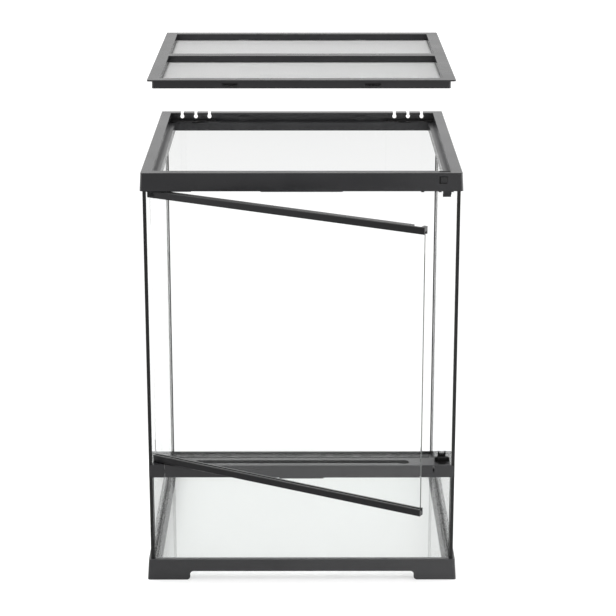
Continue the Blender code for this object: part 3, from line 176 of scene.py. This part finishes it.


def plastic(name, dark, light, roughness, specular, top=None):
    """Moulded plastic: fine spark-eroded grain, faint flow marks and uneven sheen.

    An optional colour and roughness for the faces that point up paint light or shade on them.
    """
    tree = Finish(name)
    clouds = tree.noise(CLOUD_SCALE, detail=4.0)
    flow = tree.noise(FLOW_SCALE, detail=3.0, stretch=FLOW_STRETCH)
    grain = tree.noise(GRAIN_SCALE)
    colour = tree.blend(tree.spread(clouds, 0.0, 1.0), dark, light)
    sheen = tree.spread(flow, roughness - SHEEN_BELOW, roughness + SHEEN_ABOVE)
    # Faces that point up take their own colour and roughness: painted light or shade.
    if top is not None:
        painted_top_colour, top_roughness = top
        painted_top_mask = tree.spread(tree.split(tree.normal())["Z"], 0.0, 1.0, UPWARD_SPAN)
        colour = tree.blend(painted_top_mask, colour, painted_top_colour)
        sheen = tree.math("ADD", sheen, tree.math("MULTIPLY", painted_top_mask, top_roughness - roughness))
    tree.join(colour, tree.shader.inputs["Base Color"])
    tree.join(sheen, tree.shader.inputs["Roughness"])
    grained = tree.bump(grain, GRAIN_STRENGTH, GRAIN_DEPTH)
    tree.join(tree.bump(flow, FLOW_STRENGTH, FLOW_DEPTH, below=grained), tree.shader.inputs["Normal"])
    tree.set(Specular_IOR_Level=specular)
    return tree.material


frame_plastic = plastic(
    "frame_plastic", (0.018, 0.018, 0.020), (0.024, 0.024, 0.026), roughness=0.24, specular=0.40)
# Its faces that point up sit at the dark end of its tone and are rougher: slight painted shade.
lid_plastic = plastic(
    "lid_plastic", (0.018, 0.018, 0.020), (0.024, 0.024, 0.026), roughness=0.24, specular=0.36,
    top=((0.018, 0.018, 0.019), 0.27))
# Faces that point up much lighter: painted highlight on the rim's upper faces.
base_plastic = plastic(
    "base_plastic", (0.028, 0.028, 0.030), (0.034, 0.034, 0.036), roughness=0.24, specular=0.45,
    top=((0.055, 0.055, 0.057), 0.22))
# Faces that point up lighter: painted highlight on the strip's upper faces.
strip_plastic = plastic(
    "strip_plastic", (0.025, 0.025, 0.027), (0.031, 0.031, 0.033), roughness=0.24, specular=0.40,
    top=((0.060, 0.060, 0.062), 0.22))
# Faces that point up far lighter: painted highlight along the rails' upper faces.
door_plastic = plastic(
    "door_plastic", (0.006, 0.006, 0.007), (0.010, 0.010, 0.011), roughness=0.34, specular=0.25,
    top=((0.10, 0.10, 0.10), 0.30))
black_plastic = plastic(
    "black_plastic", (0.004, 0.004, 0.004), (0.008, 0.008, 0.008), roughness=0.45, specular=0.12)
# Faces that point up near black and matt: painted shade in the clip's slot.
clip_plastic = plastic(
    "clip_plastic", (0.016, 0.016, 0.017), (0.022, 0.022, 0.023), roughness=0.35, specular=0.35,
    top=((0.003, 0.003, 0.003), 0.80))
# Near-black mesh for the vent slot.
mesh_black = plastic(
    "coated_mesh", (0.006, 0.006, 0.006), (0.010, 0.010, 0.010), roughness=0.55, specular=0.1)


# Sealant

WAVE_SCALE = 45.0
WAVE_STRENGTH = 0.3
WAVE_DEPTH = 0.0006
DUST_SCALE = 900.0
SEAL_STRAY = 0.12  # how far the roughness strays, down and up


def silicone(name, dark, light, roughness, specular):
    """Sealant, smoothed by hand, so its sheen wanders along the bead."""
    tree = Finish(name)
    waves = tree.noise(WAVE_SCALE, detail=3.0)
    dust = tree.noise(DUST_SCALE)
    colour = tree.blend(tree.spread(dust, 0.0, 1.0), dark, light)
    sheen = tree.spread(waves, roughness - SEAL_STRAY, roughness + SEAL_STRAY)
    tree.join(colour, tree.shader.inputs["Base Color"])
    tree.join(sheen, tree.shader.inputs["Roughness"])
    tree.join(tree.bump(waves, WAVE_STRENGTH, WAVE_DEPTH), tree.shader.inputs["Normal"])
    tree.set(Specular_IOR_Level=specular)
    return tree.material


seal = silicone(
    "black_silicone", (0.007, 0.007, 0.007), (0.018, 0.018, 0.018), roughness=0.42, specular=0.25)
floor_seal = silicone(
    "floor_silicone", (0.05, 0.05, 0.05), (0.08, 0.08, 0.08), roughness=0.28, specular=0.6)


# Glass

CLEAR_TINT = (0.980, 0.986, 0.983)
TINT_SCALE = 2.5
TINT_RISE = 0.01
SMUDGE_SCALE = 9.0
SMUDGE_SPAN = (0.45, 0.8)
SMUDGE_ROUGHNESS = 0.012
EDGE_SPAN = (0.8, 0.9)  # from here to there, a face counts more and more as an edge of the pane
SEALED_EDGE = (0.02, 0.02, 0.02)  # edges that stand in black sealant
FREE_EDGE = (0.002, 0.0025, 0.0022)  # the door's edge, where the eye looks into the pane lengthwise
LAMP_SHARE = (0.91, 0.92, 0.915, 1.0)  # what each face of a pane lets through of a lamp's light


def glass(name, ior, edge_facing=None, edge_colour=SEALED_EDGE):
    """Clear float glass. Lamps pass through it with a slight loss.

    edge_facing, where given, is the direction that the pane's coloured edges face, or its opposite.
    """
    tree = Finish(name)
    tree.set(Transmission_Weight=1.0, IOR=ior)
    smudges = tree.noise(SMUDGE_SCALE, detail=5.0, roughness=0.6)
    tree.join(tree.spread(smudges, 0.0, SMUDGE_ROUGHNESS, SMUDGE_SPAN), tree.shader.inputs["Roughness"])
    paler = tuple(min(1.0, part + TINT_RISE) for part in CLEAR_TINT)
    colour = tree.blend(tree.noise(TINT_SCALE), CLEAR_TINT, paler)
    if edge_facing is not None:
        facing = tree.add("ShaderNodeVectorMath", operation="DOT_PRODUCT")
        tree.join(tree.normal(), facing.inputs[0])
        facing.inputs[1].default_value = edge_facing
        either_way = tree.math("ABSOLUTE", facing.outputs["Value"], 0.0)
        colour = tree.blend(tree.spread(either_way, 0.0, 1.0, EDGE_SPAN), colour, edge_colour)
    tree.join(colour, tree.shader.inputs["Base Color"])
    clear = tree.add("ShaderNodeBsdfTransparent")
    clear.inputs["Color"].default_value = LAMP_SHARE
    path = tree.add("ShaderNodeLightPath")
    mix = tree.add("ShaderNodeMixShader")
    tree.join(path.outputs["Is Shadow Ray"], mix.inputs["Fac"])
    tree.join(tree.shader.outputs["BSDF"], mix.inputs[1])
    tree.join(clear.outputs["BSDF"], mix.inputs[2])
    tree.join(mix.outputs["Shader"], tree.output.inputs["Surface"])
    return tree.material


floor_glass = glass("floor_glass", ior=1.5)
side_glass = glass("side_glass", ior=1.15, edge_facing=(0.0, 1.0, 0.0))
kick_glass = glass("kick_glass", ior=1.15, edge_facing=(1.0, 0.0, 0.0))
back_glass = glass("back_glass", ior=1.38, edge_facing=(1.0, 0.0, 0.0))
door_glass = glass(
    "door_glass", ior=1.30, edge_facing=(math.cos(DOOR_ANGLE), -math.sin(DOOR_ANGLE), 0.0),
    edge_colour=FREE_EDGE)


# Steel

DRAWN_STRETCH = (1.0, 1.0, 0.15)
DRAWN_BELOW = 0.06  # how far the roughness strays, down and up
DRAWN_ABOVE = 0.08
MESH_SHADE_COLOUR = (0.004, 0.004, 0.004)
MESH_SHADE_FADE = 0.0004
MESH_SHADE_WIDTH = 0.003  # width of the black band of painted shade on the mesh along the lid's front rim


def steel(name, dark, light, roughness, scale, shade_until=None):
    """Bare steel with fine drawn lines, black up to a place along Y where one is given: painted shade."""
    tree = Finish(name)
    lines = tree.noise(scale, detail=3.0, stretch=DRAWN_STRETCH)
    colour = tree.blend(tree.spread(lines, 0.0, 1.0), dark, light)
    # Black up to just behind the lid's front rim: painted shade, seen through the latch windows.
    if shade_until is not None:
        along = tree.split(tree.add("ShaderNodeTexCoord").outputs["Object"])["Y"]
        unshaded = tree.spread(along, 0.0, 1.0, (shade_until - MESH_SHADE_FADE, shade_until))
        colour = tree.blend(unshaded, MESH_SHADE_COLOUR, colour)
    tree.join(colour, tree.shader.inputs["Base Color"])
    sheen = tree.spread(lines, roughness - DRAWN_BELOW, roughness + DRAWN_ABOVE)
    tree.join(sheen, tree.shader.inputs["Roughness"])
    tree.set(Metallic=1.0)
    return tree.material


pin_steel = steel("pin_steel", (0.50, 0.50, 0.50), (0.62, 0.62, 0.61), roughness=0.28, scale=400.0)
# The woven mesh, black along the lid's front rim: painted shade.
mesh_steel = steel(
    "woven_steel", (0.62, 0.62, 0.62), (0.72, 0.72, 0.72), roughness=0.34, scale=900.0,
    shade_until=lid_low.y + LID_RIM_WIDTH + MESH_SHADE_WIDTH)


# CAD nodes: their finish, and softened edges on the moulded ones

PLASTIC_BEVEL = 0.0003
BEVEL_SEGMENTS = 2
BEVEL_ANGLE = math.radians(28)
WELD_DISTANCE = 0.00001
FINISHES = {
    "base_frame": base_plastic, "top_frame": frame_plastic, "lid_frame": lid_plastic,
    "lower_hinge_block": frame_plastic, "vent_strip": strip_plastic,
    "door_top_rail": door_plastic, "door_bottom_rail": door_plastic,
    "upper_hinge_block": black_plastic, "lower_door_catch": black_plastic,
    "upper_door_catch": clip_plastic, "left_inlet_slider": black_plastic,
    "right_inlet_slider": black_plastic, "mesh_retainer": black_plastic,
    "left_edge_strip": seal, "right_edge_strip": seal, "rear_left_seam": seal,
    "rear_right_seam": seal, "kick_left_seam": seal, "kick_right_seam": seal,
    "floor_seam": floor_seal, "floor_glass": floor_glass, "left_glass": side_glass,
    "right_glass": side_glass, "rear_glass": back_glass, "front_kick_glass": kick_glass,
    "door_glass": door_glass, "lower_hinge_pin": pin_steel, "upper_hinge_pin": pin_steel,
}
MOULDED = (
    "base_frame", "top_frame", "lid_frame", "lower_hinge_block", "vent_strip", "door_top_rail",
    "door_bottom_rail", "upper_hinge_block", "lower_door_catch", "upper_door_catch",
    "left_inlet_slider", "right_inlet_slider", "mesh_retainer")


def finish_node(name, material):
    """Gives a CAD node its material."""
    node = nodes[name]
    node.data.materials.clear()
    node.data.materials.append(material)


def soften(name):
    """Small round edges on a moulded CAD node, by modifiers that leave its own mesh alone."""
    node = nodes[name]
    weld = node.modifiers.new("weld", "WELD")
    weld.merge_threshold = WELD_DISTANCE
    bevel = node.modifiers.new("soften", "BEVEL")
    bevel.width = PLASTIC_BEVEL
    bevel.segments = BEVEL_SEGMENTS
    bevel.limit_method = "ANGLE"
    bevel.angle_limit = BEVEL_ANGLE
    bevel.harden_normals = True


for node_name, finish in FINISHES.items():
    finish_node(node_name, finish)
for node_name in MOULDED:
    soften(node_name)


# Woven mesh

MESH_PITCH = 0.0015
MESH_WIRE = 0.00030
MESH_HELD = 0.0025  # width of the mesh's edge that the lid covers
VENT_PITCH = 0.0016
VENT_WIRE = 0.00035
LAYER_LIFT = 0.9  # in radii, how far each layer of wires lies from the sheet's middle
WIRE_SIDES = 4


def wire_sheet(name, low, high, pitch, wire, material):
    """Straight wires both ways over a rectangle, the ones along Y lying on the ones along X."""
    mesh = bpy.data.meshes.new(name)
    points, faces = [], []
    radius = wire / 2
    up = Vector((0.0, 0.0, radius))

    def lay(start, along, across):
        """One wire of diamond section, from a point along a vector."""
        first = len(points)
        for end in (start, start + along):
            points.extend([end + across, end + up, end - across, end - up])
        for i in range(WIRE_SIDES):
            j = (i + 1) % WIRE_SIDES
            faces.append((first + i, first + j, first + WIRE_SIDES + j, first + WIRE_SIDES + i))
        faces.append([first + i for i in reversed(range(WIRE_SIDES))])
        faces.append([first + WIRE_SIDES + i for i in range(WIRE_SIDES)])

    middle = (low.z + high.z) / 2
    width, depth = high.x - low.x, high.y - low.y
    columns = int(width / pitch)
    rows = int(depth / pitch)
    for i in range(columns + 1):
        x = low.x + radius + (width - wire) * i / columns
        start = Vector((x, low.y, middle + radius * LAYER_LIFT))
        lay(start, Vector((0, depth, 0)), Vector((radius, 0, 0)))
    for j in range(rows + 1):
        y = low.y + radius + (depth - wire) * j / rows
        start = Vector((low.x, y, middle - radius * LAYER_LIFT))
        lay(start, Vector((width, 0, 0)), Vector((0, -radius, 0)))
    mesh.from_pydata(points, [], faces)
    mesh.materials.append(material)
    piece = bpy.data.objects.new(name, mesh)
    bpy.context.scene.collection.objects.link(piece)
    return piece


for cad_name, piece_name in (("front_mesh", "front_woven_mesh"), ("rear_mesh", "rear_woven_mesh")):
    low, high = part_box(cad_name)
    low.x = lid_low.x + LID_RIM_WIDTH - MESH_HELD
    high.x = lid_high.x - LID_RIM_WIDTH + MESH_HELD
    if cad_name == "front_mesh":
        low.y = lid_low.y + LID_RIM_WIDTH - MESH_HELD
    else:
        high.y = lid_high.y - LID_RIM_WIDTH + MESH_HELD
    woven = wire_sheet(piece_name, low, high, MESH_PITCH, MESH_WIRE, mesh_steel)
    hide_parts(cad_name)
    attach(woven, "lid")

low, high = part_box("vent_mesh")
vent = wire_sheet("vent_woven_mesh", low, high, VENT_PITCH, VENT_WIRE, mesh_black)
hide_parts("vent_mesh")
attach(vent, "tank")


# Floor. Its glow is given as strengths, and as the spans in metres over which one turns into the next.
# A distance is taken from the frame's origin. A square one is the larger of the distances along X and
# along Y from the tank's middle.

FLOOR_SIZE = 60.0
FLOOR_DROP = 0.0002
FLOOR_COLOUR = (0.57, 0.57, 0.57, 1.0)
# Just outside the base the eye sees more glow, which paints light over the object's soft shadow there, so
# that the shadow stays only under the tank.
EYE_UNDER = 0.42  # what the eye sees: under the tank, at its edge, near it and far off
EYE_EDGE = 0.60
EYE_NEAR = 0.36
EYE_FAR = 0.74
EYE_EDGE_SPAN = (0.220, 0.234)  # square
EYE_NEAR_SPAN = (0.24, 0.42)  # square
EYE_FAR_SPAN = (1.0, 4.5)
# Through glass the floor glows least under the tank: painted shade there.
GLASS_UNDER = 0.20  # what is seen through glass: under the tank, behind it, beyond that and far off
GLASS_BEHIND = 0.36
GLASS_BEYOND = 0.48
GLASS_FAR = 0.32
GLASS_BEHIND_SPAN = (0.36, 0.46)
GLASS_BEYOND_SPAN = (0.5, 2.0)
GLASS_FAR_SPAN = (2.30, 2.60)
# Mirrored, the floor glows more near the tank and at the right than far off and at the left: painted light in
# reflections.
GLOSS_NEAR = 0.50  # what is mirrored: near the tank and far off
GLOSS_FAR = 0.30
GLOSS_FAR_SPAN = (0.3, 2.0)
GLOSS_TURN = 0.60  # the share of it that is lost at the left and gained at the right
GLOSS_TURN_SPAN = (-0.3, 0.3)  # along X


def floor_glow(tree):
    """The glow's strength at a place, for the eye, through glass or in a mirror image."""
    path = tree.add("ShaderNodeLightPath")
    position = tree.add("ShaderNodeNewGeometry").outputs["Position"]
    flat = tree.add("ShaderNodeVectorMath", operation="MULTIPLY")
    flat.inputs[1].default_value = (1.0, 1.0, 0.0)
    length = tree.add("ShaderNodeVectorMath", operation="LENGTH")
    tree.join(position, flat.inputs[0])
    tree.join(flat.outputs["Vector"], length.inputs[0])
    distance = length.outputs["Value"]
    parts = tree.split(position)
    aside = tree.math("ABSOLUTE", tree.math("SUBTRACT", parts["X"], TANK_X), 0.0)
    ahead = tree.math("ABSOLUTE", tree.math("SUBTRACT", parts["Y"], TANK_Y), 0.0)
    square = tree.math("MAXIMUM", aside, ahead)

    # Painted light: more glow in a band just outside the base.
    eye = tree.spread(square, EYE_UNDER, EYE_EDGE, EYE_EDGE_SPAN)
    eye = tree.math("SUBTRACT", eye, tree.spread(square, 0.0, EYE_EDGE - EYE_NEAR, EYE_NEAR_SPAN))
    eye = tree.math("ADD", eye, tree.spread(distance, 0.0, EYE_FAR - EYE_NEAR, EYE_FAR_SPAN))
    eye = tree.math("MULTIPLY", eye, path.outputs["Is Camera Ray"])

    # Painted shade: least glow under the tank.
    through = tree.spread(distance, GLASS_UNDER, GLASS_BEHIND, GLASS_BEHIND_SPAN)
    beyond = tree.spread(distance, 0.0, GLASS_BEYOND - GLASS_BEHIND, GLASS_BEYOND_SPAN)
    far_off = tree.spread(distance, 0.0, GLASS_BEYOND - GLASS_FAR, GLASS_FAR_SPAN)
    through = tree.math("SUBTRACT", tree.math("ADD", through, beyond), far_off)
    through = tree.math("MULTIPLY", through, path.outputs["Is Transmission Ray"])

    gloss = tree.spread(distance, GLOSS_NEAR, GLOSS_FAR, GLOSS_FAR_SPAN)
    # Painted light: more glow at the right, less at the left.
    turn = tree.spread(parts["X"], 1.0 - GLOSS_TURN, 1.0 + GLOSS_TURN, GLOSS_TURN_SPAN)
    gloss = tree.math("MULTIPLY", tree.math("MULTIPLY", gloss, turn), tree.mirrored(path))
    return tree.math("MAXIMUM", tree.math("MAXIMUM", eye, through), gloss)


def floor_material():
    """White floor that keeps the object's shadow: a diffuse part, and a glow that no diffuse surface gets."""
    tree = Finish("studio_floor")
    diffuse = tree.add("ShaderNodeBsdfDiffuse")
    diffuse.inputs["Color"].default_value = FLOOR_COLOUR
    glow = tree.add("ShaderNodeEmission")
    tree.join(floor_glow(tree), glow.inputs["Strength"])
    both = tree.add("ShaderNodeAddShader")
    tree.join(diffuse.outputs["BSDF"], both.inputs[0])
    tree.join(glow.outputs["Emission"], both.inputs[1])
    tree.join(both.outputs["Shader"], tree.output.inputs["Surface"])
    return tree.material


def make_floor():
    mesh = bpy.data.meshes.new("studio_floor")
    plane = bmesh.new()
    bmesh.ops.create_grid(plane, x_segments=1, y_segments=1, size=FLOOR_SIZE / 2)
    plane.to_mesh(mesh)
    plane.free()
    floor = bpy.data.objects.new("studio_floor", mesh)
    floor.location.z = -FLOOR_DROP
    mesh.materials.append(floor_material())
    bpy.context.scene.collection.objects.link(floor)


# Light

WORLD_STRENGTH = 0.55
HORIZON_GLASS = 0.92  # the dome as seen through glass
HORIZON_GLOSS = 1.0  # the dome as mirrored
SUN_STRENGTH = 1.45
SUN_SOFTNESS = math.radians(50)
SUN_DIRECTION = (0.35, -0.55, -1.0)
SIDE_LAMPS = ((-1.0, 20.0), (1.0, 38.0))  # side and watts
SIDE_LAMP_PLACE = 1.7  # from the tank's middle along X
SIDE_LAMP_RISE = 0.8
SIDE_LAMP_HEIGHT = 1.5
SIDE_LAMP_LENGTH = 3.0


def make_world():
    """An even dome, which the eye and gloss see as white, and glass a little darker."""
    world = bpy.data.worlds.new("studio")
    world.use_nodes = True
    bpy.context.scene.world = world
    tree = NodeTree(world.node_tree)
    back = tree.nodes["Background"]
    path = tree.add("ShaderNodeLightPath")
    through = tree.math("MULTIPLY", path.outputs["Is Transmission Ray"], HORIZON_GLASS)
    gloss = tree.math("MULTIPLY", tree.mirrored(path), HORIZON_GLOSS)
    level = tree.math("MAXIMUM", path.outputs["Is Camera Ray"], through)
    level = tree.math("MAXIMUM", level, gloss)
    level = tree.math("MAXIMUM", level, WORLD_STRENGTH)
    tree.join(level, back.inputs["Strength"])
    back.inputs["Color"].default_value = (1.0, 1.0, 1.0, 1.0)


def make_sun():
    light = bpy.data.lights.new("key", "SUN")
    light.energy = SUN_STRENGTH
    light.angle = SUN_SOFTNESS
    lamp = bpy.data.objects.new("key", light)
    lamp.rotation_mode = "QUATERNION"
    lamp.rotation_quaternion = Vector(SUN_DIRECTION).to_track_quat("-Z", "Y")
    bpy.context.scene.collection.objects.link(lamp)


def make_side_lamps():
    """Soft lamps at both sides, which light the corners and the side ledges."""
    for side, power in SIDE_LAMPS:
        light = bpy.data.lights.new("side", "AREA")
        light.shape = "RECTANGLE"
        light.size = SIDE_LAMP_HEIGHT
        light.size_y = SIDE_LAMP_LENGTH
        light.energy = power
        lamp = bpy.data.objects.new("side", light)
        lamp.location = (TANK_X + side * SIDE_LAMP_PLACE, TANK_Y, SIDE_LAMP_RISE)
        lamp.rotation_euler = (0.0, math.pi / 2 * side, 0.0)
        lamp.visible_camera = False
        lamp.visible_transmission = False
        bpy.context.scene.collection.objects.link(lamp)


# Camera, fitted to the corners of the frames in the photograph

CAMERA_ASIDE = 0.0045
CAMERA_BACK = 2.9755
CAMERA_HEIGHT = 1.2440
CAMERA_PITCH = math.radians(16.637)  # downwards
CAMERA_YAW = math.radians(-0.096)
SENSOR_WIDTH = 36.0
LENS = 116.73


def make_camera():
    camera_data = bpy.data.cameras.new("camera")
    camera_data.sensor_width = SENSOR_WIDTH
    camera_data.lens = LENS
    camera = bpy.data.objects.new("camera", camera_data)
    camera.location = (TANK_X + CAMERA_ASIDE, TANK_Y - CAMERA_BACK, CAMERA_HEIGHT)
    camera.rotation_euler = (math.pi / 2 - CAMERA_PITCH, 0.0, CAMERA_YAW)
    bpy.context.scene.collection.objects.link(camera)
    bpy.context.scene.camera = camera


make_camera()
make_floor()
make_world()
make_sun()
make_side_lamps()
bpy.context.scene.view_settings.view_transform = "Standard"
